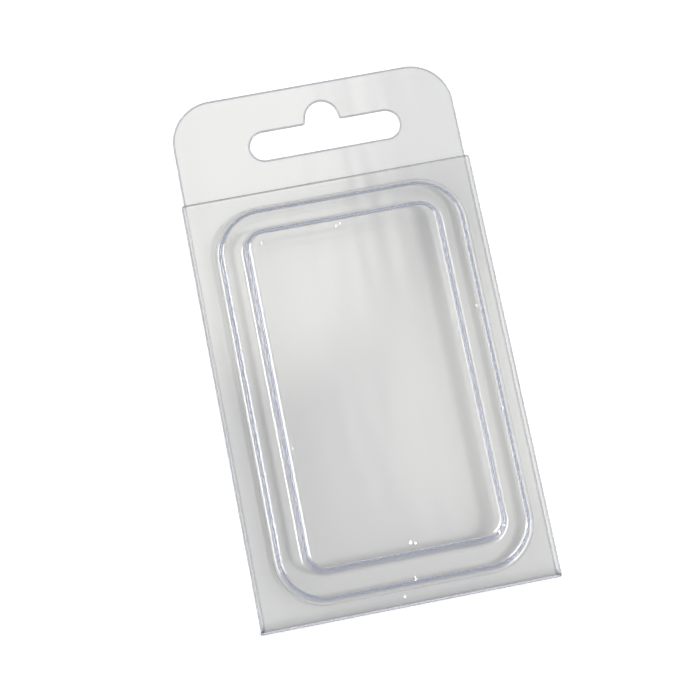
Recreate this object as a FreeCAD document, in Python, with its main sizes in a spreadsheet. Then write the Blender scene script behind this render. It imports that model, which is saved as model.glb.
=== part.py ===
import FreeCAD, Part

# Clear plastic clamshell pack, lying on its flat back leaf with the hang tab towards +Y.
# One thermoformed sheet is folded over along its bottom edge. It is drawn as two leaves
# that meet face to face at the crease of the fold, because the front leaf swings open
# there: the back leaf is flat and carries the hang tab with its slot, and the front leaf
# carries the two-step blister. X is the width, Y the length, and Z points out of the
# blister. Lengths along Y are measured from the crease, and each leaf's Placement then
# puts the middle of the pack's length at the origin.

import math
import os

import Sketcher

# Driving sizes in millimetres, and angles in degrees
SIZES = {
    "sheet_thickness": 0.4,
    "fold_outer_radius": 1.1,
    "back_width": 60.0,
    "front_overhang": 0.6,
    "front_length": 90.0,
    "front_corner_radius": 0.6,
    "tab_length": 22.0,
    "tab_corner_radius": 9.0,
    "slot_width": 32.0,
    "slot_height": 6.1,
    "slot_from_tab_end": 11.8,
    "slot_offset": 1.9,
    "peak_radius": 3.4,
    "peak_rise": 4.5,
    "peak_flare_angle": 12.0,
    "peak_foot_round": 0.5,
    "left_margin": 5.75,
    "right_margin": 3.95,
    "fold_margin": 4.0,
    "top_margin": 3.9,
    "ledge_height": 2.2,
    "ledge_corner_radius": 9.6,
    "ledge_margin": 4.6,
    "block_height": 4.0,
    "block_corner_radius": 4.5,
    "draft_angle": 12.0,
    "ledge_foot_round": 0.6,
    "ledge_edge_round": 0.9,
    "block_foot_round": 0.8,
    "block_edge_round": 1.2,
}

NEAR = 1e-3
UPWARD = FreeCAD.Vector(0, 0, 1)


class Length:
    """A length with its formula in the driving sizes and its present value."""

    def __init__(self, formula, value):
        self.formula = formula
        self.value = value

    def join(self, sign, other, value):
        formula = other.formula if isinstance(other, Length) else str(other)
        return Length(f"({self.formula} {sign} {formula})", value)

    def __add__(self, other):
        return self.join("+", other, self.value + plain(other))

    def __sub__(self, other):
        return self.join("-", other, self.value - plain(other))

    def __mul__(self, other):
        return self.join("*", other, self.value * plain(other))

    def __truediv__(self, other):
        return self.join("/", other, self.value / plain(other))

    def __neg__(self):
        return Length(f"(0 - {self.formula})", -self.value)


def plain(number):
    return number.value if isinstance(number, Length) else number


def tangent(angle):
    return Length(f"tan({angle.formula} * 1 deg)", math.tan(math.radians(angle.value)))


def cosine(angle):
    return Length(f"cos({angle.formula} * 1 deg)", math.cos(math.radians(angle.value)))


def make_sheet(doc):
    """Spreadsheet with one alias for each driving size."""
    sheet = doc.addObject("Spreadsheet::Sheet", "sizes")
    for row, (alias, value) in enumerate(SIZES.items(), start=1):
        sheet.set(f"A{row}", alias)
        sheet.set(f"B{row}", str(value))
        sheet.setAlias(f"B{row}", alias)
    doc.recompute()
    return sheet


def size(alias):
    """A driving size as a Length."""
    return Length(f"sizes.{alias}", float(getattr(sheet, alias)))


def pack_length():
    """From the crease of the fold to the end of the hang tab."""
    return size("front_length") + size("tab_length")


def new_body(label):
    """Empty body, placed so that the middle of the pack's length is at the origin."""
    body = doc.addObject("PartDesign::Body", label)
    body.Label = label
    body.setExpression("Placement.Base.y", (-pack_length() / 2).formula)
    return body


def new_sketch(body, name, role, height=None):
    """Sketch on an origin plane of its own body, lifted by a Length."""
    sketch = body.newObject("Sketcher::SketchObject", name)
    support = [feature for feature in body.Origin.OriginFeatures if feature.Role == role]
    sketch.AttachmentSupport = [(support[0], "")]
    sketch.MapMode = "FlatFace"
    if height is not None:
        sketch.setExpression(".AttachmentOffset.Base.z", height.formula)
    return sketch


def tie(sketch, kind, *places):
    """Constraint that has no value."""
    sketch.addConstraint(Sketcher.Constraint(kind, *places))


def bind(sketch, kind, *places_and_length):
    """Constraint whose value follows a Length."""
    *places, length = places_and_length
    index = sketch.addConstraint(Sketcher.Constraint(kind, *places, length.value))
    sketch.setExpression(f"Constraints[{index}]", length.formula)


def add_line(sketch, start, stop):
    return sketch.addGeometry(Part.LineSegment(start, stop), False)


def add_arc(sketch, centre, radius, start_degrees, stop_degrees):
    circle = Part.Circle(centre, UPWARD, radius)
    arc = Part.ArcOfCircle(circle, math.radians(start_degrees), math.radians(stop_degrees))
    return sketch.addGeometry(arc, False)


def draw_plate(sketch, left, right, low, high, low_radius=None, high_radius=None):
    """Rectangle between four Lengths, its low and high corners sharp or rounded."""
    corners = [
        (left, low, low_radius),
        (right, low, low_radius),
        (right, high, high_radius),
        (left, high, high_radius),
    ]
    ways = [FreeCAD.Vector(*way) for way in ((1, 0), (0, 1), (-1, 0), (0, -1))]
    places = [FreeCAD.Vector(x.value, y.value) for x, y, _ in corners]
    radii = [radius.value if radius else 0.0 for _, _, radius in corners]
    sides = []
    for index, way in enumerate(ways):
        after = (index + 1) % len(corners)
        start = places[index] + way * radii[index]
        side = add_line(sketch, start, places[after] - way * radii[after])
        sides.append(side)
        if way.x:
            tie(sketch, "Horizontal", side)
            bind(sketch, "DistanceY", -1, 1, side, 1, corners[index][1])
        else:
            tie(sketch, "Vertical", side)
            bind(sketch, "DistanceX", -1, 1, side, 1, corners[index][0])
    for index, (_, _, radius) in enumerate(corners):
        before, after = sides[index - 1], sides[index]
        if radius is None:
            tie(sketch, "Coincident", before, 2, after, 1)
            continue
        centre = places[index] + (ways[index] - ways[index - 1]) * radii[index]
        start_degrees = 180 + 90 * index
        arc = add_arc(sketch, centre, radii[index], start_degrees, start_degrees + 90)
        tie(sketch, "Tangent", before, 2, arc, 1)
        tie(sketch, "Tangent", arc, 2, after, 1)
        bind(sketch, "Radius", arc, radius)


def draw_obround(sketch, centre_x, centre_y, width, height):
    """Level slot with a half round at each end."""
    reach = (width - height) / 2
    radius = height / 2
    middle = FreeCAD.Vector(centre_x.value, centre_y.value)
    along = FreeCAD.Vector(reach.value, 0)
    up = FreeCAD.Vector(0, radius.value)
    low = add_line(sketch, middle - along - up, middle + along - up)
    right = add_arc(sketch, middle + along, radius.value, -90, 90)
    high = add_line(sketch, middle + along + up, middle - along + up)
    left = add_arc(sketch, middle - along, radius.value, 90, 270)
    around = [low, right, high, left]
    for before, after in zip(around, around[1:] + around[:1]):
        tie(sketch, "Tangent", before, 2, after, 1)
    tie(sketch, "Horizontal", low)
    bind(sketch, "Radius", right, radius)
    bind(sketch, "DistanceX", -1, 1, right, 3, centre_x + reach)
    bind(sketch, "DistanceX", -1, 1, left, 3, centre_x - reach)
    bind(sketch, "DistanceY", -1, 1, right, 3, centre_y)


def draw_peak(sketch, centre_x, foot_y, dome_y, radius, flare):
    """Dome on two sides that flare outwards down to a level foot."""
    foot_reach = radius / cosine(flare) + (dome_y - foot_y) * tangent(flare)
    flare_angle = math.radians(flare.value)
    centre = FreeCAD.Vector(centre_x.value, dome_y.value)
    shoulder_x = radius.value * math.cos(flare_angle)
    shoulder_y = dome_y.value + radius.value * math.sin(flare_angle)
    left_top = FreeCAD.Vector(centre.x - shoulder_x, shoulder_y)
    right_top = FreeCAD.Vector(centre.x + shoulder_x, shoulder_y)
    left_foot = FreeCAD.Vector(centre.x - foot_reach.value, foot_y.value)
    right_foot = FreeCAD.Vector(centre.x + foot_reach.value, foot_y.value)
    dome = add_arc(sketch, centre, radius.value, flare.value, 180 - flare.value)
    left = add_line(sketch, left_top, left_foot)
    foot = add_line(sketch, left_foot, right_foot)
    right = add_line(sketch, right_foot, right_top)
    tie(sketch, "Tangent", dome, 2, left, 1)
    tie(sketch, "Coincident", left, 2, foot, 1)
    tie(sketch, "Coincident", foot, 2, right, 1)
    tie(sketch, "Tangent", right, 2, dome, 1)
    tie(sketch, "Horizontal", foot)
    bind(sketch, "Radius", dome, radius)
    bind(sketch, "DistanceX", -1, 1, dome, 3, centre_x)
    bind(sketch, "DistanceY", -1, 1, dome, 3, dome_y)
    bind(sketch, "DistanceY", -1, 1, foot, 1, foot_y)
    bind(sketch, "DistanceX", -1, 1, foot, 1, centre_x - foot_reach)
    bind(sketch, "DistanceX", -1, 1, foot, 2, centre_x + foot_reach)


def draw_fold_quarter(sketch, radius, thickness, start_degrees):
    """Quarter of the rolled fold in section, its outer round touching both axes."""
    outer, inner = radius.value, radius.value - thickness.value
    centre = FreeCAD.Vector(outer, outer)
    angles = [math.radians(start_degrees), math.radians(start_degrees + 90)]
    first, last = [FreeCAD.Vector(math.cos(angle), math.sin(angle)) for angle in angles]
    outside = add_arc(sketch, centre, outer, start_degrees, start_degrees + 90)
    inside = add_arc(sketch, centre, inner, start_degrees, start_degrees + 90)
    last_end = add_line(sketch, centre + last * outer, centre + last * inner)
    first_end = add_line(sketch, centre + first * inner, centre + first * outer)
    tie(sketch, "Coincident", outside, 2, last_end, 1)
    tie(sketch, "Coincident", last_end, 2, inside, 2)
    tie(sketch, "Coincident", inside, 1, first_end, 1)
    tie(sketch, "Coincident", first_end, 2, outside, 1)
    tie(sketch, "Coincident", outside, 3, inside, 3)
    upright, level = (first_end, last_end) if first.x ** 2 < last.x ** 2 else (last_end, first_end)
    tie(sketch, "Vertical", upright)
    tie(sketch, "Horizontal", level)
    bind(sketch, "Radius", outside, radius)
    bind(sketch, "Radius", inside, radius - thickness)
    bind(sketch, "DistanceX", -1, 1, outside, 3, radius)
    bind(sketch, "DistanceY", -1, 1, outside, 3, radius)


def add_pad(body, name, sketch, length, draft=None, symmetric=False):
    """Pad of a sketch, drawn in by the draft as it rises."""
    pad = body.newObject("PartDesign::Pad", name)
    pad.Profile = sketch
    pad.setExpression("Length", length.formula)
    if draft is not None:
        pad.setExpression("TaperAngle", (-draft).formula)
    if symmetric:
        pad.SideType = "Symmetric"
    doc.recompute()
    return pad


def add_pocket(body, name, sketch, depth, draft=None):
    """Pocket that cuts upwards from its sketch, drawn in by the draft as it rises."""
    pocket = body.newObject("PartDesign::Pocket", name)
    pocket.Profile = sketch
    pocket.Reversed = True
    pocket.setExpression("Length", depth.formula)
    if draft is not None:
        pocket.setExpression("TaperAngle", (-draft).formula)
    doc.recompute()
    return pocket


def add_round(body, name, edge_names, radius):
    """Fillet on named edges of the body's last feature."""
    fillet = body.newObject("PartDesign::Fillet", name)
    fillet.Base = (body.Tip if fillet.BaseFeature is None else fillet.BaseFeature, edge_names)
    fillet.setExpression("Radius", radius.formula)
    doc.recompute()
    return fillet


def level_edges(body, height, window):
    """Names of the body's edges that lie level at a height within (left, right, low, high)."""
    left, right, low, high = [plain(limit) for limit in window]
    names = []
    for number, edge in enumerate(body.Tip.Shape.Edges, start=1):
        centre = edge.CenterOfMass
        heights = [vertex.Z for vertex in edge.Vertexes] + [centre.z]
        if max(abs(z - plain(height)) for z in heights) > NEAR:
            continue
        if left - NEAR <= centre.x <= right + NEAR and low - NEAR <= centre.y <= high + NEAR:
            names.append(f"Edge{number}")
    return names


def upright_edges(body, places):
    """Names of the body's upright edges that stand at (x, y) places."""
    names = []
    for number, edge in enumerate(body.Tip.Shape.Edges, start=1):
        centre = edge.CenterOfMass
        box = edge.BoundBox
        if box.ZLength < NEAR or max(box.XLength, box.YLength) > NEAR:
            continue
        if any(math.dist((centre.x, centre.y), place) < NEAR for place in places):
            names.append(f"Edge{number}")
    return names


def make_back_leaf():
    """Flat leaf with the hang tab, its slot, and the lower quarter of the fold."""
    thickness = size("sheet_thickness")
    fold = size("fold_outer_radius")
    body = new_body("back_leaf")
    outline = new_sketch(body, "back_outline", "XY_Plane")
    half = size("back_width") / 2
    draw_plate(outline, -half, half, fold, pack_length(), high_radius=size("tab_corner_radius"))
    add_pad(body, "back_sheet", outline, thickness)

    fold_section = new_sketch(body, "back_fold_section", "YZ_Plane")
    draw_fold_quarter(fold_section, fold, thickness, 180)
    add_pad(body, "back_fold", fold_section, size("back_width"), symmetric=True)

    slot_x = size("slot_offset")
    slot_y = pack_length() - size("slot_from_tab_end")
    slot = new_sketch(body, "slot_outline", "XY_Plane")
    draw_obround(slot, slot_x, slot_y, size("slot_width"), size("slot_height"))
    add_pocket(body, "slot_cut", slot, thickness)

    radius = size("peak_radius")
    flare = size("peak_flare_angle")
    slot_top = slot_y + size("slot_height") / 2
    dome_y = slot_top + size("peak_rise") - radius
    peak = new_sketch(body, "peak_outline", "XY_Plane")
    draw_peak(peak, slot_x, slot_y, dome_y, radius, flare)
    add_pocket(body, "peak_cut", peak, thickness)

    reach = plain(radius / cosine(flare) + (dome_y - slot_top) * tangent(flare))
    feet = [(plain(slot_x) + side * reach, plain(slot_top)) for side in (-1, 1)]
    add_round(body, "peak_feet", upright_edges(body, feet), size("peak_foot_round"))
    return body


def make_front_leaf():
    """Leaf with the two-step blister and the upper quarter of the fold."""
    thickness = size("sheet_thickness")
    fold = size("fold_outer_radius")
    draft = size("draft_angle")
    outside = fold * 2
    underside = outside - thickness
    ledge_top = outside + size("ledge_height")

    body = new_body("front_leaf")
    outline = new_sketch(body, "front_outline", "XY_Plane", underside)
    half = size("back_width") / 2 + size("front_overhang")
    draw_plate(outline, -half, half, fold, size("front_length"), high_radius=size("front_corner_radius"))
    add_pad(body, "front_sheet", outline, thickness)

    fold_section = new_sketch(body, "front_fold_section", "YZ_Plane")
    draw_fold_quarter(fold_section, fold, thickness, 90)
    add_pad(body, "front_fold", fold_section, half * 2, symmetric=True)

    ledge = [
        size("left_margin") - half,
        half - size("right_margin"),
        size("fold_margin"),
        size("front_length") - size("top_margin"),
    ]
    drawn_in = size("ledge_height") * tangent(draft)
    block = inset(ledge, drawn_in + size("ledge_margin"))
    # The inner face of a drafted wall lies one thickness in, square to the wall
    wall = thickness / cosine(draft) - thickness * tangent(draft)
    ledge_corner = size("ledge_corner_radius")
    block_corner = size("block_corner_radius")

    add_step(body, "ledge", ledge, outside, size("ledge_height"), ledge_corner, draft)
    add_round(body, "ledge_foot", level_edges(body, outside, ledge), size("ledge_foot_round"))
    add_round(body, "ledge_edge", level_edges(body, ledge_top, ledge), size("ledge_edge_round"))
    add_step(body, "block", block, ledge_top, size("block_height"), block_corner, draft)
    add_round(body, "block_foot", level_edges(body, ledge_top, block), size("block_foot_round"))
    block_top = ledge_top + size("block_height")
    add_round(body, "block_edge", level_edges(body, block_top, block), size("block_edge_round"))

    inner_ledge = inset(ledge, wall)
    inner_block = inset(block, wall)
    hollow_step(body, "ledge", inner_ledge, underside, size("ledge_height"), ledge_corner - wall, draft)
    inner_foot = size("ledge_foot_round") + thickness
    inner_edge = size("ledge_edge_round") - thickness
    add_round(body, "ledge_foot_inside", level_edges(body, underside, inner_ledge), inner_foot)
    inner_top = ledge_top - thickness
    add_round(body, "ledge_edge_inside", level_edges(body, inner_top, inner_ledge), inner_edge)
    hollow_step(body, "block", inner_block, inner_top, size("block_height"), block_corner - wall, draft)
    inner_foot = size("block_foot_round") + thickness
    inner_edge = size("block_edge_round") - thickness
    add_round(body, "block_foot_inside", level_edges(body, inner_top, inner_block), inner_foot)
    roof = block_top - thickness
    add_round(body, "block_edge_inside", level_edges(body, roof, inner_block), inner_edge)
    return body


def inset(box, distance):
    """Four sides of a rectangle, each moved in by one distance."""
    left, right, low, high = box
    return [left + distance, right - distance, low + distance, high - distance]


def add_step(body, name, box, height, rise, corner, draft):
    sketch = new_sketch(body, f"{name}_outline", "XY_Plane", height)
    draw_plate(sketch, *box, corner, corner)
    add_pad(body, f"{name}_outside", sketch, rise, draft)


def hollow_step(body, name, box, height, rise, corner, draft):
    sketch = new_sketch(body, f"{name}_inner_outline", "XY_Plane", height)
    draw_plate(sketch, *box, corner, corner)
    add_pocket(body, f"{name}_inside", sketch, rise, draft)


def check_document(leaves):
    """Stop if any object failed or a leaf isn't one valid solid."""
    for item in doc.Objects:
        if "Invalid" in item.State or "Error" in item.State:
            raise RuntimeError(f"{item.Label} failed: {item.State}")
    for leaf in leaves:
        if leaf.Shape.isNull() or not leaf.Shape.isValid() or len(leaf.Shape.Solids) != 1:
            raise RuntimeError(f"{leaf.Label} is not one valid solid")


doc = FreeCAD.newDocument("clamshell_pack")
sheet = make_sheet(doc)
leaves = [make_back_leaf(), make_front_leaf()]
doc.recompute()
check_document(leaves)
os.makedirs("parts", exist_ok=True)
for leaf in leaves:
    leaf.Shape.exportStep(f"parts/{leaf.Label}.step")
    print(leaf.Label, round(leaf.Shape.Volume, 2), "mm3", leaf.Shape.BoundBox)
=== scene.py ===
import math

import bmesh
import bpy
from mathutils import Euler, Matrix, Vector


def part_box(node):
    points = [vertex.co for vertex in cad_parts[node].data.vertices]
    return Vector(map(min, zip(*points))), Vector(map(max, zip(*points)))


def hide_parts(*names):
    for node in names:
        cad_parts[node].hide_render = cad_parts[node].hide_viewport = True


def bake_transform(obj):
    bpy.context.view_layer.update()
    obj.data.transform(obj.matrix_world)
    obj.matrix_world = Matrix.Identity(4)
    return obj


bl_info = {
    "name": "Clear clamshell pack",
    "version": (1, 0, 0),
    "blender": (4, 5, 0),
    "location": "View3D > Sidebar > Clamshell",
    "description": "Models a folded clear plastic clamshell pack and a plain studio round it",
    "category": "Add Mesh",
}

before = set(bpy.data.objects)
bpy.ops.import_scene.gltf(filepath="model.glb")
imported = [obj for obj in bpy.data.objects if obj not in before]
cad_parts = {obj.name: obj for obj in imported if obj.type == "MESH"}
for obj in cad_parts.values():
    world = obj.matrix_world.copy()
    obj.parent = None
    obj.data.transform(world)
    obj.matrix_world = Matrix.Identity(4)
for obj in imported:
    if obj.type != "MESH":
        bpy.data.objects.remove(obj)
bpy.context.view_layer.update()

MM = 0.001
FRONT_LOW, FRONT_HIGH = (Vector(corner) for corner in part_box("front_leaf"))
BACK_LOW, BACK_HIGH = (Vector(corner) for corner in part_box("back_leaf"))
FOLD_RADIUS = BACK_HIGH.z

# Mesh: the narrow flat that ends each round, how finely rounds and bends are cut, and tolerances
SUPPORT = 0.06 * MM
ROUND_STEPS = 9
CORNER_STEPS = 20
FOLD_STEPS = 20
TAB_BENDS = 6
SMALL_ROUND_STEPS = 6
SLOT_ROUND_STEPS = 16
ROLL_STEPS = 4
CUT_ANGLE = math.radians(60)
CREASE_ANGLE = math.radians(35)
# Corners that meet in a half round stop just short of each other
FULL_ROUND = 0.999
CUTTER_FOOT = -2 * MM
CUTTER_HEIGHT = 6 * MM
TOUCHING = 1e-6
EXACT = 1e-7
KEY_DIGITS = 7
OUTLINE_BAND = 1 * MM
STRAIGHT_ANGLE = math.radians(0.5)
# The blister's foot reaches this share of the gauge further in on the leaf's inner face
INNER_REACH = 1.2

# Marks for the material: where a wall counts as upright, how strong the painted shade by the fold
# is, and how strong the slot's frost with its painted dark edge is
FLAT_NORMAL = 0.99
WALL_SPREAD = 0.6
TRIMMED_NORMAL = 0.9995
FOLD_SHADE = 0.12
SLOT_FROST_AND_SHADE = 0.7
BEYOND_RIM = 2 * MM

NIB_RISE = 0.16 * MM
NIB_SLANT = math.radians(25)
NIB_SIDES = 16
# Places in mm of the foot of each pip, and its radius
VENT_NIBS = (
    ((-0.4, 22.1, 8.30), 0.30),
    ((0.5, 22.4, 8.30), 0.25),
    ((2.5, -44.6, 8.30), 0.28),
    ((1.6, -44.2, 8.30), 0.36),
    ((1.4, -51.0, 4.24), 0.40),
    ((-1.2, -54.0, 2.14), 0.26),
    ((25.7, -20.7, 4.22), 0.30),
    ((24.9, 1.2, 4.34), 0.22),
    ((-16.0, 21.3, 8.24), 0.30),
    ((20.4, -44.4, 8.22), 0.32),
    ((19.3, -45.6, 8.22), 0.24),
    ((-16.9, -44.1, 8.22), 0.22),
    ((21.4, 0.9, 4.36), 0.24),
    ((-19.9, 11.9, 4.36), 0.26),
    ((-17.7, -21.4, 8.30), 0.26),
    ((-23.9, 12.4, 4.2), 0.22),
)

# The sheet's optics
PLASTIC_IOR = 1.57
CLEAR_ROUGHNESS = 0.04
FROSTED_ROUGHNESS = 0.30
WAVE_STRETCH = (1.0, 0.2, 1.0)
WAVE_SCALE = 140.0
WAVE_HEIGHT = 0.08 * MM
TRAPPED_DEPTH = 5.5
THROWN_SHARE = 0.5
TINT_DENSITY = 80.0

# The floor's own light, as the camera sees it and as the sheet mirrors or passes it
FLOOR_LIFT = 0.45
FLOOR_MIRRORED = 0.15
FLOOR_SIZE = 4.0
FLOOR_GAP = 0.02 * MM

# What the sheet mirrors: the room's colour at the horizon and overhead, and the ceiling's patches
ROOM_LOW = "#787D86"
ROOM_HIGH = "#B8B8B8"
CEILING_FROM = 0.05
CEILING_TO = 0.8
PATCH_COLOUR = "#FFFCF4"
PATCH_FULL = 0.9999
# Bright patches of the ceiling: direction, cosine of the angle where each one starts, and strength
PATCHES = (((0.03, 0.265, 0.9638), 0.996, 1.35), ((0.145, 0.17, 0.975), 0.996, 0.75))

# Soft lamps: name, place in metres, width, height and power in watts. The first light the floor and
# don't show in the sheet, and the others show only in the sheet.
FLOOR_LAMPS = (
    ("right_key", (0.45, 0.02, 0.49), 0.12, 0.12, 0.45),
    ("high_key", (0.27, -0.17, 0.60), 0.10, 0.10, 1.5),
    ("left_fill", (-0.50, -0.10, 0.50), 0.50, 0.50, 0.4),
)
MIRRORED_LAMPS = (
    ("left_strip", (-0.42, 0.12, 0.42), 0.45, 0.24, 4.5),
    ("front_card", (0.38, -0.22, 0.40), 0.40, 0.24, 4.0),
    ("right_strip", (0.42, 0.12, 0.42), 0.35, 0.20, 1.4),
)

# Camera fitted to the photo: lens and sensor in mm, turn in degrees, the point it turns about and
# how far that lies from it in its own axes, in mm
CAMERA_LENS = 97.7
CAMERA_SENSOR = 36.0
CAMERA_TURN = (12.49, -1.594, -11.239)
CAMERA_AIM = (0, 1.5, 0)
CAMERA_OFFSET = (1.215, 3.829, -391.686)


def length(name, description, default):
    """Property for a length in metres, its default given in metres."""
    return bpy.props.FloatProperty(
        name=name, description=description, default=default, unit="LENGTH", precision=5
    )


def linear(text):
    """Linear RGBA of an sRGB hex value."""
    parts = [int(text[start:start + 2], 16) / 255 for start in (1, 3, 5)]
    return [
        part / 12.92 if part <= 0.04045 else ((part + 0.055) / 1.055) ** 2.4 for part in parts
    ] + [1.0]


def colour(name, description, default):
    """Property for a colour, its default given as an sRGB hex value."""
    return bpy.props.FloatVectorProperty(
        name=name, description=description, default=linear(default), size=4,
        min=0.0, max=1.0, subtype="COLOR",
    )


class ClamshellSheet(bpy.types.PropertyGroup):
    """Sizes of the folded sheet, its hang tab and its slot."""

    thickness: length("Thickness", "Gauge of the formed sheet", 0.4 * MM)
    fold_radius: length("Fold radius", "Outer radius of the rolled fold", FOLD_RADIUS)
    corner_radius: length("Tab corner", "Radius of the hang tab's corners", 9.0 * MM)
    front_corner: length("Front corner", "Radius of the front leaf's free corners", 0.6 * MM)
    rim: length("Rim", "Width of the edge that shows the cut", 0.55 * MM)
    # Painted shade: the sheet is painted darker over this reach beyond the fold
    fold_shade: length("Fold shade", "How far beyond the fold the sheet is darker", 1.45 * MM)
    cut_roll: length("Cut roll", "How far the cutting die rolls the trimmed edges over", 0.18 * MM)
    tab_bow: bpy.props.FloatProperty(
        name="Tab bow", description="How far the hang tab curls up in all",
        default=math.radians(2.2), unit="ROTATION",
    )
    slot_width: length("Slot width", "Width of the hang slot", 32.0 * MM)
    slot_height: length("Slot height", "Height of the hang slot beside its peak", 6.1 * MM)
    slot_offset: length("Slot offset", "How far the slot sits right of the middle", 1.9 * MM)
    slot_to_end: length("Slot to end", "From the slot's middle to the end of the tab", 11.8 * MM)
    peak_radius: length("Peak radius", "Radius of the peak's dome", 3.4 * MM)
    peak_rise: length("Peak rise", "Height of the peak over the slot", 4.5 * MM)
    peak_flare: bpy.props.FloatProperty(
        name="Peak flare", description="Lean of the peak's sides", default=math.radians(12),
        unit="ROTATION",
    )
    peak_foot: length("Peak foot", "Radius where the peak meets the slot", 0.5 * MM)


class ClamshellBlister(bpy.types.PropertyGroup):
    """Sizes of the two-step blister on the front leaf."""

    left_margin: length("Left margin", "From the left edge to the lower step", 5.75 * MM)
    right_margin: length("Right margin", "From the lower step to the right edge", 3.95 * MM)
    fold_margin: length("Fold margin", "From the fold's crease to the lower step", 4.0 * MM)
    top_margin: length("Top margin", "From the lower step to the front leaf's free edge", 3.9 * MM)
    ledge_height: length("Ledge height", "Height of the lower step", 2.2 * MM)
    ledge_corner: length("Ledge corner", "Corner radius at the lower step's foot", 9.6 * MM)
    ledge_margin: length("Ledge margin", "Width of the ledge round the upper step", 4.6 * MM)
    block_height: length("Block height", "Height of the upper step", 4.0 * MM)
    ledge_foot: length("Ledge foot", "Round where the lower step meets the leaf", 0.6 * MM)
    ledge_edge: length("Ledge edge", "Round along the lower step's top edge", 0.9 * MM)
    block_foot: length("Block foot", "Round where the upper step meets the ledge", 0.8 * MM)
    block_edge: length("Block edge", "Round along the upper step's top edge", 1.2 * MM)
    draft: bpy.props.FloatProperty(
        name="Draft", description="Lean of both steps' walls", default=math.radians(12),
        unit="ROTATION",
    )


class ClamshellLook(bpy.types.PropertyGroup):
    """Colours of the sheet and of the studio."""

    sheet: colour("Sheet", "Clear sheet, seen square on", "#FEFEFC")
    # Wall is painted shade: a darker, colder tint laid on the blister's walls and in the fold
    wall: colour("Wall", "Painted shade on the blister's walls and in the fold", "#E2E2EB")
    # Cut is partly real frost, as roughness, and partly painted shade: a dark band along trimmed
    # edges and the slot
    cut: colour("Cut", "Trimmed edge, frosted by the cutting die and painted darker as shade", "#A0A3AD")
    edge: colour("Edge", "What is left of white light that ran far inside the sheet", "#D3DAEE")
    # Bend is a painted glow: an emission that rays deep in the sheet return
    bend: colour("Bend", "Painted glow for light led along the sheet to its bends and cut edges", "#A9AFBE")
    floor: colour("Floor", "Plain pale floor", "#F4F4F4")


def add_node(tree, kind, settings=None, links=None):
    """Add a node, set its properties and sockets, and link other nodes' outputs to it."""
    node = tree.nodes.new(kind)
    for name, value in (settings or {}).items():
        if isinstance(name, int) or name in node.inputs:
            node.inputs[name].default_value = value
        else:
            setattr(node, name, value)
    for name, output in (links or {}).items():
        tree.links.new(output, node.inputs[name])
    return node


def new_material(name):
    """Empty node material with its output node."""
    material = bpy.data.materials.new(name)
    material.use_nodes = True
    material.node_tree.nodes.clear()
    output = material.node_tree.nodes.new("ShaderNodeOutputMaterial")
    return material, material.node_tree, output


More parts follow.
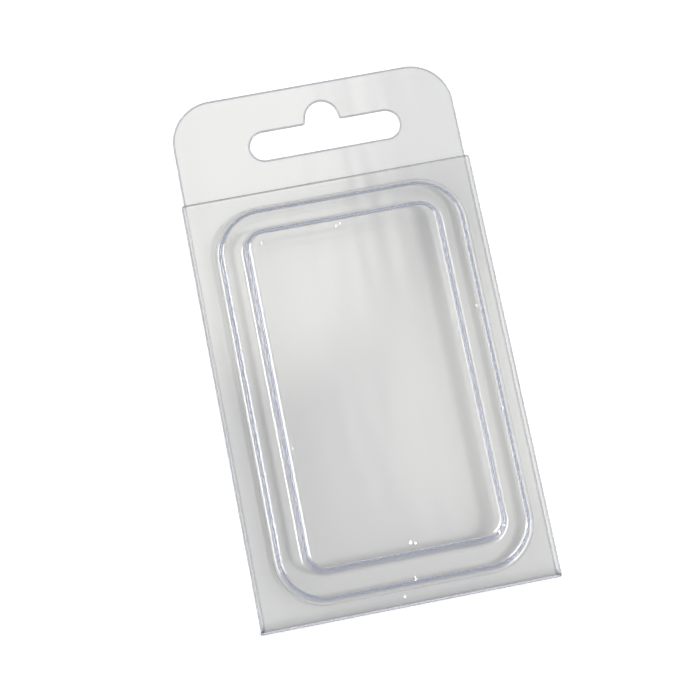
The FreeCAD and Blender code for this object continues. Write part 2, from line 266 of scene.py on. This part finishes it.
def clear_formed_sheet():
    """Clear PET, vacuum formed: glossy on both faces, and cold where it is seen along its edge,
    with painted shade on its walls, fold and cut edges and a painted glow deep inside it.
    """
    material = bpy.data.materials.get("clear_formed_pet")
    if material:
        return material
    look = bpy.context.scene.clamshell_look
    material, tree, output = new_material("clear_formed_pet")
    place = add_node(tree, "ShaderNodeTexCoord")
    # Slow waves 7 mm wide along the length, which the sheet took on as it stretched over the mould:
    # they break up what its faces mirror
    drawn = add_node(tree, "ShaderNodeMapping", {"Scale": WAVE_STRETCH}, {
        "Vector": place.outputs["Object"],
    })
    waves = add_node(tree, "ShaderNodeTexNoise", {"Scale": WAVE_SCALE, "Detail": 1.0}, {
        "Vector": drawn.outputs["Vector"],
    })
    uneven = add_node(tree, "ShaderNodeBump", {"Strength": 1.0, "Distance": WAVE_HEIGHT}, {
        "Height": waves.outputs["Fac"],
    })
    # Walls and bends are seen through more plastic than the flats, and are painted darker on top of
    # that as shade; cut edges are frosted and painted with a dark edge line
    wall = add_node(tree, "ShaderNodeAttribute", {"attribute_name": "formed_wall"})
    cut = add_node(tree, "ShaderNodeAttribute", {"attribute_name": "cut_edge"})
    formed = add_node(tree, "ShaderNodeMix", {
        "data_type": "RGBA", 6: look.sheet, 7: look.wall,
    }, {0: wall.outputs["Fac"]})
    # Painted shade: cut edges take the darker cut colour, besides their frosted roughness
    trimmed = add_node(tree, "ShaderNodeMix", {"data_type": "RGBA", 7: look.cut}, {
        0: cut.outputs["Fac"],
        6: formed.outputs[2],
    })
    frost = add_node(tree, "ShaderNodeMapRange", {
        "To Min": CLEAR_ROUGHNESS, "To Max": FROSTED_ROUGHNESS,
    }, {"Value": cut.outputs["Fac"]})
    gloss = add_node(tree, "ShaderNodeBsdfPrincipled", {
        "IOR": PLASTIC_IOR, "Transmission Weight": 1.0,
    }, {
        "Base Color": trimmed.outputs[2],
        "Roughness": frost.outputs["Result"],
        "Normal": uneven.outputs["Normal"],
    })
    path = add_node(tree, "ShaderNodeLightPath")
    # Painted glow: rays that run deeper than a set number of bounces return a fixed cold emission,
    # which stands in for light caught in the sheet and led along it to come out at bends and cuts
    caught = add_node(tree, "ShaderNodeMath", {"operation": "GREATER_THAN", 1: TRAPPED_DEPTH}, {
        0: path.outputs["Ray Depth"],
    })
    painted_glow = add_node(tree, "ShaderNodeEmission", {"Color": look.bend, "Strength": 1.0})
    seen = add_node(tree, "ShaderNodeMixShader", {}, {
        "Fac": caught.outputs["Value"],
        1: gloss.outputs["BSDF"],
        2: painted_glow.outputs["Emission"],
    })
    # Light on its way to the floor passes straight through, less what both faces turn back and
    # what the bent, stretched walls throw aside, so that the walls draw their soft shadows
    thrown = add_node(tree, "ShaderNodeMath", {"operation": "MULTIPLY", 1: THROWN_SHARE}, {
        0: wall.outputs["Fac"],
    })
    side = add_node(tree, "ShaderNodeNewGeometry")
    index = add_node(tree, "ShaderNodeMapRange", {
        "To Min": PLASTIC_IOR, "To Max": 1 / PLASTIC_IOR,
    }, {"Value": side.outputs["Backfacing"]})
    fresnel = add_node(tree, "ShaderNodeFresnel", {}, {"IOR": index.outputs["Result"]})
    lost = add_node(tree, "ShaderNodeMath", {"operation": "ADD", "use_clamp": True}, {
        0: fresnel.outputs["Fac"],
        1: thrown.outputs["Value"],
    })
    passed = add_node(tree, "ShaderNodeMath", {"operation": "SUBTRACT", 0: 1.0}, {
        1: lost.outputs["Value"],
    })
    straight = add_node(tree, "ShaderNodeBsdfTransparent", {}, {"Color": passed.outputs["Value"]})
    for_floor = add_node(tree, "ShaderNodeMath", {"operation": "MAXIMUM"}, {
        0: path.outputs["Is Shadow Ray"],
        1: path.outputs["Is Diffuse Ray"],
    })
    mixed = add_node(tree, "ShaderNodeMixShader", {}, {
        "Fac": for_floor.outputs["Value"],
        1: seen.outputs["Shader"],
        2: straight.outputs["BSDF"],
    })
    tint = add_node(tree, "ShaderNodeVolumeAbsorption", {
        "Color": look.edge, "Density": TINT_DENSITY,
    })
    tree.links.new(mixed.outputs["Shader"], output.inputs["Surface"])
    tree.links.new(tint.outputs["Volume"], output.inputs["Volume"])
    return material


def white_floor():
    """Matt white paper sweep: clips to white round the pack but keeps the pack's shadow."""
    look = bpy.context.scene.clamshell_look
    material, tree, output = new_material("white_paper_sweep")
    paper = add_node(tree, "ShaderNodeBsdfDiffuse", {"Color": look.floor})
    path = add_node(tree, "ShaderNodeLightPath")
    direct = add_node(tree, "ShaderNodeMath", {"operation": "MULTIPLY", 1: FLOOR_LIFT}, {
        0: path.outputs["Is Camera Ray"],
    })
    turned = add_node(tree, "ShaderNodeMath", {"operation": "MAXIMUM"}, {
        0: path.outputs["Is Glossy Ray"],
        1: path.outputs["Is Transmission Ray"],
    })
    strength = add_node(tree, "ShaderNodeMath", {"operation": "MULTIPLY_ADD", 1: FLOOR_MIRRORED}, {
        0: turned.outputs["Value"],
        2: direct.outputs["Value"],
    })
    lift = add_node(tree, "ShaderNodeEmission", {"Color": linear("#FFFFFF")}, {
        "Strength": strength.outputs["Value"],
    })
    both = add_node(tree, "ShaderNodeAddShader", {}, {
        0: paper.outputs["BSDF"],
        1: lift.outputs["Emission"],
    })
    tree.links.new(both.outputs["Shader"], output.inputs["Surface"])
    return material


def studio_world():
    """Dim, cold room under a pale ceiling with two bright patches, for the sheet to mirror."""
    world = bpy.data.worlds.new("studio")
    world.use_nodes = True
    tree = world.node_tree
    tree.nodes.clear()
    output = tree.nodes.new("ShaderNodeOutputWorld")
    place = add_node(tree, "ShaderNodeTexCoord")
    apart = add_node(tree, "ShaderNodeSeparateXYZ", {}, {"Vector": place.outputs["Generated"]})
    height = add_node(tree, "ShaderNodeMapRange", {
        "interpolation_type": "SMOOTHSTEP", "From Min": CEILING_FROM, "From Max": CEILING_TO,
    }, {"Value": apart.outputs["Z"]})
    shade = add_node(tree, "ShaderNodeMix", {
        "data_type": "RGBA", 6: linear(ROOM_LOW), 7: linear(ROOM_HIGH),
    }, {0: height.outputs["Result"]})
    mirrored = add_node(tree, "ShaderNodeBackground", {"Strength": 1.0}, {
        "Color": shade.outputs[2],
    })
    for direction, edge, strength in PATCHES:
        towards = add_node(tree, "ShaderNodeVectorMath", {
            "operation": "DOT_PRODUCT", 1: direction,
        }, {0: place.outputs["Generated"]})
        patch = add_node(tree, "ShaderNodeMapRange", {
            "interpolation_type": "SMOOTHSTEP",
            "From Min": edge, "From Max": PATCH_FULL, "To Max": strength,
        }, {"Value": towards.outputs["Value"]})
        lit = add_node(tree, "ShaderNodeBackground", {"Color": linear(PATCH_COLOUR)}, {
            "Strength": patch.outputs["Result"],
        })
        mirrored = add_node(tree, "ShaderNodeAddShader", {}, {
            0: mirrored.outputs[0],
            1: lit.outputs[0],
        })
    # Straight behind the floor's far edge the camera sees the same white as on the floor
    path = add_node(tree, "ShaderNodeLightPath")
    white = add_node(tree, "ShaderNodeBackground", {"Color": linear("#FFFFFF"), "Strength": 1.0})
    seen = add_node(tree, "ShaderNodeMixShader", {}, {
        "Fac": path.outputs["Is Camera Ray"],
        1: mirrored.outputs[0],
        2: white.outputs["Background"],
    })
    tree.links.new(seen.outputs["Shader"], output.inputs["Surface"])
    return world


def start_plane(name):
    """New unit plane at the origin, in edit mode with all of it selected."""
    if bpy.context.object and bpy.context.object.mode != "OBJECT":
        bpy.ops.object.mode_set(mode="OBJECT")
    bpy.ops.object.select_all(action="DESELECT")
    bpy.ops.mesh.primitive_plane_add(size=1, location=(0, 0, 0))
    piece = bpy.context.object
    piece.name = piece.data.name = name
    bpy.ops.object.mode_set(mode="EDIT")
    bpy.ops.mesh.select_mode(type="VERT")
    bpy.ops.mesh.select_all(action="SELECT")
    return piece


def fit_selection(low, high, height):
    """Move and stretch a selected unit square to a rectangle at a height."""
    bpy.ops.transform.resize(value=(high[0] - low[0], high[1] - low[1], 1))
    bpy.ops.transform.translate(value=((low[0] + high[0]) / 2, (low[1] + high[1]) / 2, height))


def pick(piece, test, kind="verts"):
    """Select in edit mode only what passes a test of its place."""
    bpy.ops.mesh.select_all(action="DESELECT")
    mesh = bmesh.from_edit_mesh(piece.data)
    for item in getattr(mesh, kind):
        if kind == "verts":
            item.select_set(test(item.co))
        elif kind == "edges":
            item.select_set(all(test(vertex.co) for vertex in item.verts))
        else:
            item.select_set(test(item.calc_center_median()))
    mesh.select_flush_mode()
    bmesh.update_edit_mesh(piece.data)


def near(value, target, slack=TOUCHING):
    """Whether two measures are the same but for a slack."""
    return abs(value - target) < slack


def place_key(place):
    """Place rounded to a tenth of a micrometre, by which a vertex is known again."""
    return tuple(round(value, KEY_DIGITS) for value in place)


def round_steps(radius, start, stop):
    """Inset and rise of each step round a fillet, from one slope to another."""
    steps = []
    for index in range(ROUND_STEPS):
        here = start + (stop - start) * index / ROUND_STEPS
        after = start + (stop - start) * (index + 1) / ROUND_STEPS
        steps.append((
            radius * abs(math.sin(after) - math.sin(here)),
            radius * abs(math.cos(after) - math.cos(here)),
        ))
    return steps


def step_profile(height, draft, foot, edge):
    """Insets and rises up one step of the blister, with flat supports at both ends."""
    slope = math.pi / 2 - draft
    tangent = math.tan(slope / 2)
    wall = height / math.cos(draft) - (foot + edge) * tangent
    straight = (wall * math.sin(draft), wall * math.cos(draft))
    profile = [(SUPPORT, 0.0)]
    profile += round_steps(foot, 0.0, slope)
    profile.append(straight)
    profile += round_steps(edge, slope, 0.0)
    profile.append((SUPPORT, 0.0))
    return profile


def blister_profile(sizes):
    """Insets and rises from the leaf up over both steps to the flat top."""
    slope = math.pi / 2 - sizes.draft
    tangent = math.tan(slope / 2)
    profile = step_profile(sizes.ledge_height, sizes.draft, sizes.ledge_foot, sizes.ledge_edge)
    flat = sizes.ledge_margin - (sizes.ledge_edge + sizes.block_foot) * tangent - 2 * SUPPORT
    profile.append((flat, 0.0))
    profile += step_profile(sizes.block_height, sizes.draft, sizes.block_foot, sizes.block_edge)
    return profile


def raise_blister(sheet, blister):
    """Rounded rectangle on the front leaf, inset and raised loop by loop into the blister."""
    outside = 2 * sheet.fold_radius
    low, high, corner = blister_window(sheet, blister)
    fit_selection(low, high, outside)
    bpy.ops.mesh.bevel(
        offset_type="OFFSET", offset=corner, segments=CORNER_STEPS, affect="VERTICES"
    )
    bpy.ops.mesh.select_mode(type="FACE")
    bpy.ops.mesh.select_all(action="SELECT")
    for inset, rise in blister_profile(blister):
        bpy.ops.mesh.inset(
            thickness=inset, depth=rise, use_even_offset=True, use_relative_offset=False
        )


def surround_with_leaf(piece, sheet):
    """Flat of the front leaf, filled in between its outline and the blister's foot."""
    outside = 2 * sheet.fold_radius
    bpy.ops.mesh.select_mode(type="EDGE")
    bpy.ops.mesh.select_all(action="DESELECT")
    bpy.ops.mesh.select_non_manifold()
    outline = bmesh.from_edit_mesh(piece.data).verts
    foot = {place_key(vertex.co) for vertex in outline if vertex.select}
    bpy.ops.mesh.select_mode(type="VERT")
    bpy.ops.mesh.select_all(action="DESELECT")
    bpy.ops.mesh.primitive_plane_add(size=1, location=(0, 0, 0))
    low = (FRONT_LOW.x, FRONT_LOW.y + sheet.fold_radius)
    high = (FRONT_HIGH.x, FRONT_HIGH.y)
    fit_selection(low, high, outside)
    bpy.ops.mesh.delete(type="ONLY_FACE")
    pick(piece, lambda place: near(place.y, high[1]) and near(abs(place.x), high[0]))
    bpy.ops.mesh.bevel(
        offset_type="OFFSET", offset=sheet.front_corner, segments=SMALL_ROUND_STEPS,
        affect="VERTICES",
    )
    bpy.ops.mesh.select_mode(type="EDGE")

    def on_outline(place):
        return near(place.z, outside) and (
            place.x < low[0] + OUTLINE_BAND or place.x > high[0] - OUTLINE_BAND
            or place.y < low[1] + OUTLINE_BAND or place.y > high[1] - OUTLINE_BAND
        )

    pick(piece, lambda place: on_outline(place) or place_key(place) in foot, "edges")
    bpy.ops.mesh.fill(use_beauty=True)


def roll_fold(piece, sheet):
    """Bottom edge of the front leaf, spun half round to the back leaf's outer face."""
    start = FRONT_LOW.y + sheet.fold_radius
    outside = 2 * sheet.fold_radius
    pick(piece, lambda place: near(place.y, start) and near(place.z, outside), "edges")
    bpy.ops.mesh.spin(
        steps=FOLD_STEPS, angle=math.pi, center=(0, start, sheet.fold_radius), axis=(-1, 0, 0)
    )
    narrow = BACK_HIGH.x / FRONT_HIGH.x
    for step in range(FOLD_STEPS // 2 + 1, FOLD_STEPS + 1):
        turn = math.pi * step / FOLD_STEPS
        height = sheet.fold_radius * (1 + math.cos(turn))
        share = 1 - math.sin(turn)
        pick(piece, lambda place: near(place.z, height) and place.y < start + SUPPORT)
        bpy.ops.transform.resize(value=(1 + (narrow - 1) * share, 1, 1), center_override=(0, 0, 0))


def lay_back_leaf(piece, sheet):
    """Back leaf run out from the fold to the end of the hang tab, its end corners rounded."""
    start = FRONT_LOW.y + sheet.fold_radius
    bpy.ops.mesh.select_mode(type="VERT")
    pick(piece, lambda place: near(place.y, start) and near(place.z, 0.0))
    bpy.ops.mesh.extrude_region_move(
        TRANSFORM_OT_translate={"value": (0, BACK_HIGH.y - start, 0)}
    )
    pick(piece, lambda place: near(place.y, BACK_HIGH.y) and place.z < sheet.fold_radius)
    bpy.ops.mesh.bevel(
        offset_type="OFFSET", offset=sheet.corner_radius, segments=CORNER_STEPS, affect="VERTICES"
    )


def round_corners(piece, test, reach, segments):
    """Round the flat outline's corners that pass a test, a reach back along their edges."""
    pick(piece, test)
    bpy.ops.mesh.bevel(offset_type="OFFSET", offset=reach, segments=segments, affect="VERTICES")


def make_slot_cutter(sheet):
    """Block with the slot's outline: half-round ends, and a domed peak with flared sides."""
    middle = BACK_HIGH.y - sheet.slot_to_end
    half_width, half_height = sheet.slot_width / 2, sheet.slot_height / 2
    top = middle + half_height
    flare = sheet.peak_flare
    crown = sheet.peak_radius * (1 / math.cos(flare) - math.tan(flare))
    foot = crown + sheet.peak_rise * math.tan(flare)
    centre = sheet.slot_offset
    cutter = start_plane("slot_cutter")
    fit_selection(
        (centre - half_width, middle - half_height), (centre + half_width, top), CUTTER_FOOT
    )
    for side in (-1, 1):
        bpy.ops.mesh.select_all(action="SELECT")
        bpy.ops.mesh.bisect(
            plane_co=(centre + side * foot, 0, 0), plane_no=(1, 0, 0), threshold=EXACT
        )
    pick(cutter, lambda place: near(place.y, top) and near(abs(place.x - centre), foot, SUPPORT))
    bpy.ops.mesh.extrude_region_move(TRANSFORM_OT_translate={"value": (0, sheet.peak_rise, 0)})
    bpy.ops.transform.resize(value=(crown / foot, 1, 1), center_override=(centre, 0, 0))
    bpy.ops.mesh.select_all(action="SELECT")
    bpy.ops.mesh.dissolve_limited(angle_limit=STRAIGHT_ANGLE)
    round_corners(
        cutter, lambda place: place.y > top + SUPPORT, crown * FULL_ROUND, SLOT_ROUND_STEPS
    )
    round_corners(
        cutter, lambda place: near(place.y, top) and near(abs(place.x - centre), foot, SUPPORT),
        sheet.peak_foot, SMALL_ROUND_STEPS,
    )
    round_corners(
        cutter, lambda place: near(abs(place.x - centre), half_width, SUPPORT),
        half_height * FULL_ROUND, SLOT_ROUND_STEPS,
    )
    bpy.ops.mesh.select_mode(type="FACE")
    bpy.ops.mesh.select_all(action="SELECT")
    bpy.ops.mesh.extrude_region_move(TRANSFORM_OT_translate={"value": (0, 0, CUTTER_HEIGHT)})
    bpy.ops.mesh.select_all(action="SELECT")
    bpy.ops.mesh.normals_make_consistent(inside=False)
    bpy.ops.object.mode_set(mode="OBJECT")
    return cutter


def cut_slot(piece, sheet):
    """Hang slot cut clean through the tab."""
    cutter = make_slot_cutter(sheet)
    bpy.ops.object.select_all(action="DESELECT")
    piece.select_set(True)
    bpy.context.view_layer.objects.active = piece
    cut = piece.modifiers.new("Slot", "BOOLEAN")
    cut.operation = "DIFFERENCE"
    cut.solver = "EXACT"
    cut.object = cutter
    bpy.ops.object.modifier_apply(modifier=cut.name)
    bpy.data.objects.remove(cutter)


def inside(place, low, high, radius):
    """How far a place lies inside a rectangle with rounded corners; below 0 it lies outside."""
    across = abs(place.x - (low[0] + high[0]) / 2) - (high[0] - low[0]) / 2 + radius
    along = abs(place.y - (low[1] + high[1]) / 2) - (high[1] - low[1]) / 2 + radius
    return radius - math.hypot(max(across, 0), max(along, 0)) - min(max(across, along), 0)


def blister_window(sheet, blister):
    """Corners and corner radius of the flat that carries the blister, out to its support."""
    tangent = math.tan((math.pi / 2 - blister.draft) / 2)
    grow = blister.ledge_foot * tangent + SUPPORT
    low = (FRONT_LOW.x + blister.left_margin - grow, FRONT_LOW.y + blister.fold_margin - grow)
    high = (FRONT_HIGH.x - blister.right_margin + grow, FRONT_HIGH.y - blister.top_margin + grow)
    return low, high, blister.ledge_corner + grow


def rim_distance(place, sheet):
    """How far a place on either leaf lies from the leaf's trimmed outline."""
    back = place.z < sheet.fold_radius
    if place.y < 0:
        return (BACK_HIGH.x if back else FRONT_HIGH.x) - abs(place.x)
    if back:
        return inside(place, BACK_LOW, BACK_HIGH, sheet.corner_radius)
    return inside(place, FRONT_LOW, FRONT_HIGH, sheet.front_corner)


def bow_tab(piece, sheet):
    """Hang tab curled up a little towards its end, in small bends."""
    bpy.ops.object.mode_set(mode="EDIT")
    bpy.ops.mesh.select_mode(type="VERT")
    reach = BACK_HIGH.y - FRONT_HIGH.y
    for step in range(TAB_BENDS):
        bend = FRONT_HIGH.y + reach * step / TAB_BENDS
        bpy.ops.mesh.select_all(action="SELECT")
        if step:
            bpy.ops.mesh.bisect(plane_co=(0, bend, 0), plane_no=(0, 1, 0), threshold=EXACT)
        pick(piece, lambda place: place.y > bend + TOUCHING)
        bpy.ops.transform.rotate(
            value=-sheet.tab_bow / TAB_BENDS, orient_axis="X",
            center_override=(0, bend, sheet.thickness / 2),
        )
    bpy.ops.object.mode_set(mode="OBJECT")


def add_vent_nibs(piece):
    """Small slanted pips that the mould's vents left, beside the blister's edges."""
    bpy.ops.object.mode_set(mode="EDIT")
    bpy.ops.mesh.select_mode(type="FACE")
    for place, radius in VENT_NIBS:
        across, along, foot = (value * MM for value in place)
        bpy.ops.mesh.select_all(action="DESELECT")
        bpy.ops.mesh.primitive_circle_add(
            vertices=NIB_SIDES, radius=radius * MM, fill_type="NGON", location=(across, along, foot)
        )
        bpy.ops.mesh.extrude_region_move(TRANSFORM_OT_translate={"value": (0, 0, NIB_RISE)})
        bpy.ops.transform.rotate(
            value=NIB_SLANT, orient_axis="Y", center_override=(across, along, foot + NIB_RISE)
        )
    bpy.ops.object.mode_set(mode="OBJECT")


def ring_flats(piece, sheet, blister):
    """Narrow rings round the edges of both leaves' flats, to carry the rolled edges."""
    bpy.ops.object.mode_set(mode="EDIT")
    bpy.ops.mesh.select_mode(type="FACE")
    window = blister_window(sheet, blister)
    start = FRONT_LOW.y + sheet.fold_radius
    outside = 2 * sheet.fold_radius
    for side in (-1, 1):
        pick(piece, lambda place: place.y < start, "faces")
        bpy.ops.mesh.bisect(
            plane_co=(side * (BACK_HIGH.x - sheet.rim), 0, 0), plane_no=(1, 0, 0), threshold=EXACT
        )
    for level in (0.0, sheet.thickness, outside - sheet.thickness, outside):
        slack = INNER_REACH * sheet.thickness if near(level, outside - sheet.thickness) else 0.0
        pick(piece, lambda place: near(place.z, level) and place.y > start and (
            level < sheet.fold_radius or inside(place, *window) < slack), "faces")
        bpy.ops.mesh.inset(
            thickness=sheet.rim, depth=0, use_even_offset=True, use_relative_offset=False
        )
    # A line across both leaves where the painted shade beyond the fold fades out
    bpy.ops.mesh.select_all(action="SELECT")
    bpy.ops.mesh.bisect(
        plane_co=(0, start + sheet.fold_shade, 0), plane_no=(0, 1, 0), threshold=EXACT
    )
    bpy.ops.object.mode_set(mode="OBJECT")


def roll_cut_edges(piece, sheet):
    """Trimmed edges rolled over a little, as the cutting die leaves them."""
    bpy.ops.object.mode_set(mode="EDIT")
    bpy.ops.mesh.select_mode(type="EDGE")
    bpy.ops.mesh.select_all(action="DESELECT")
    bpy.ops.mesh.edges_select_sharp(sharpness=CUT_ANGLE)
    bpy.ops.mesh.bevel(
        offset_type="OFFSET", offset=sheet.cut_roll, segments=ROLL_STEPS, affect="EDGES"
    )
    bpy.ops.mesh.select_all(action="SELECT")
    bpy.ops.mesh.remove_doubles(threshold=TOUCHING)
    bpy.ops.object.mode_set(mode="OBJECT")


def clamp(value):
    """Value held between 0 and 1."""
    return min(1.0, max(0.0, value))


def mark_sheet(piece, sheet):
    """Attributes for the material: upright walls and bends, the painted shade by the fold, and cut
    edges, all of which take painted shade in the sheet's colour.
    """
    mesh = piece.data
    wall = mesh.attributes.new("formed_wall", "FLOAT", "POINT")
    cut = mesh.attributes.new("cut_edge", "FLOAT", "POINT")
    start = FRONT_LOW.y + sheet.fold_radius
    outside = 2 * sheet.fold_radius
    for vertex in mesh.vertices:
        place = vertex.co
        lean = abs(vertex.normal.z)
        rim = rim_distance(place, sheet)
        within = rim > BEYOND_RIM
        # Upright walls and the fold's own bend take painted shade from the wall colour, in this
        # share
        upright = clamp((FLAT_NORMAL - lean) / WALL_SPREAD)
        formed = place.y < start or (place.z > outside - sheet.thickness - SUPPORT and within)
        # Painted shade that fades out over a reach beyond the fold
        near_fold = FOLD_SHADE * clamp(1 - (place.y - start) / sheet.fold_shade)
        wall.data[vertex.index].value = max(upright if formed else 0.0, near_fold)
        # The slot's edge and a band along each leaf's outline get frost and a painted dark edge
        # line
        slot_edge = within and place.z < sheet.fold_radius and lean < TRIMMED_NORMAL
        cut.data[vertex.index].value = max(
            SLOT_FROST_AND_SHADE if slot_edge else 0.0, clamp(1 - rim / sheet.rim)
        )


def finish_mesh(piece):
    """Shade smooth up to a crease."""
    bpy.ops.object.select_all(action="DESELECT")
    piece.select_set(True)
    bpy.context.view_layer.objects.active = piece
    bpy.ops.object.shade_smooth_by_angle(angle=CREASE_ANGLE)


class CLAMSHELL_OT_sheet(bpy.types.Operator):
    """Fold the clear sheet with its blister, hang tab and slot"""

    bl_idname = "clamshell.sheet"
    bl_label = "Folded sheet"

    def execute(self, context):
        sheet = context.scene.clamshell_sheet
        blister = context.scene.clamshell_blister
        piece = start_plane("folded_sheet")
        raise_blister(sheet, blister)
        surround_with_leaf(piece, sheet)
        roll_fold(piece, sheet)
        lay_back_leaf(piece, sheet)
        bpy.ops.mesh.select_all(action="SELECT")
        bpy.ops.mesh.remove_doubles(threshold=EXACT)
        bpy.ops.mesh.normals_make_consistent(inside=False)
        bpy.ops.object.mode_set(mode="OBJECT")
        wall = piece.modifiers.new("Sheet gauge", "SOLIDIFY")
        wall.thickness = sheet.thickness
        wall.offset = -1.0
        wall.use_even_offset = True
        bpy.ops.object.modifier_apply(modifier=wall.name)
        cut_slot(piece, sheet)
        ring_flats(piece, sheet, blister)
        roll_cut_edges(piece, sheet)
        mark_sheet(piece, sheet)
        bow_tab(piece, sheet)
        add_vent_nibs(piece)
        finish_mesh(piece)
        piece.data.materials.append(clear_formed_sheet())
        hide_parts("back_leaf", "front_leaf")
        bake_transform(piece)
        return {"FINISHED"}


def add_softbox(name, place, width, height, power):
    """Rectangular soft lamp aimed at the pack."""
    data = bpy.data.lights.new(name, "AREA")
    data.shape = "RECTANGLE"
    data.size = width
    data.size_y = height
    data.energy = power
    lamp = bpy.data.objects.new(name, data)
    lamp.location = place
    lamp.rotation_euler = (-Vector(place)).to_track_quat("-Z", "Y").to_euler()
    bpy.context.scene.collection.objects.link(lamp)
    return lamp


class CLAMSHELL_OT_stage(bpy.types.Operator):
    """Set out the white sweep, the soft lamps, the world and the camera"""

    bl_idname = "clamshell.stage"
    bl_label = "Studio"

    def execute(self, context):
        scene = context.scene
        bpy.ops.object.select_all(action="DESELECT")
        bpy.ops.mesh.primitive_plane_add(size=FLOOR_SIZE, location=(0, 0, -FLOOR_GAP))
        floor = context.object
        floor.name = "floor"
        floor.data.materials.append(white_floor())

        for row in FLOOR_LAMPS:
            lamp = add_softbox(*row)
            lamp.visible_glossy = lamp.visible_transmission = False
        for row in MIRRORED_LAMPS:
            lamp = add_softbox(*row)
            lamp.visible_diffuse = False

        scene.world = studio_world()

        data = bpy.data.cameras.new("camera")
        data.lens = CAMERA_LENS
        data.sensor_width = CAMERA_SENSOR
        camera = bpy.data.objects.new("camera", data)
        turn = Euler([math.radians(angle) for angle in CAMERA_TURN], "XYZ")
        camera.location = (
            Vector(CAMERA_AIM) * MM - turn.to_matrix() @ (Vector(CAMERA_OFFSET) * MM)
        )
        camera.rotation_euler = turn
        scene.collection.objects.link(camera)
        scene.camera = camera
        scene.view_settings.view_transform = "Standard"
        return {"FINISHED"}


class CLAMSHELL_PT_panel(bpy.types.Panel):
    """Lists the clamshell's operators and sizes in the sidebar"""

    bl_idname = "CLAMSHELL_PT_panel"
    bl_label = "Clamshell pack"
    bl_space_type = "VIEW_3D"
    bl_region_type = "UI"
    bl_category = "Clamshell"

    def draw(self, context):
        column = self.layout.column()
        for operator in OPERATORS:
            column.operator(operator.bl_idname)
        for group in GROUPS:
            settings = getattr(context.scene, GROUPS[group])
            for name in group.__annotations__:
                column.prop(settings, name)


GROUPS = {
    ClamshellSheet: "clamshell_sheet",
    ClamshellBlister: "clamshell_blister",
    ClamshellLook: "clamshell_look",
}
OPERATORS = (CLAMSHELL_OT_sheet, CLAMSHELL_OT_stage)


def register():
    """Register the property groups, the operators and the panel."""
    for group, name in GROUPS.items():
        bpy.utils.register_class(group)
        setattr(bpy.types.Scene, name, bpy.props.PointerProperty(type=group))
    for operator in OPERATORS:
        bpy.utils.register_class(operator)
    bpy.utils.register_class(CLAMSHELL_PT_panel)


def unregister():
    """Take back what register made, in reverse."""
    bpy.utils.unregister_class(CLAMSHELL_PT_panel)
    for operator in reversed(OPERATORS):
        bpy.utils.unregister_class(operator)
    for group, name in GROUPS.items():
        delattr(bpy.types.Scene, name)
        bpy.utils.unregister_class(group)


def main():
    """Register, then build the pack and its studio."""
    register()
    bpy.ops.clamshell.sheet()
    bpy.ops.clamshell.stage()


if __name__ == "__main__":
    main()
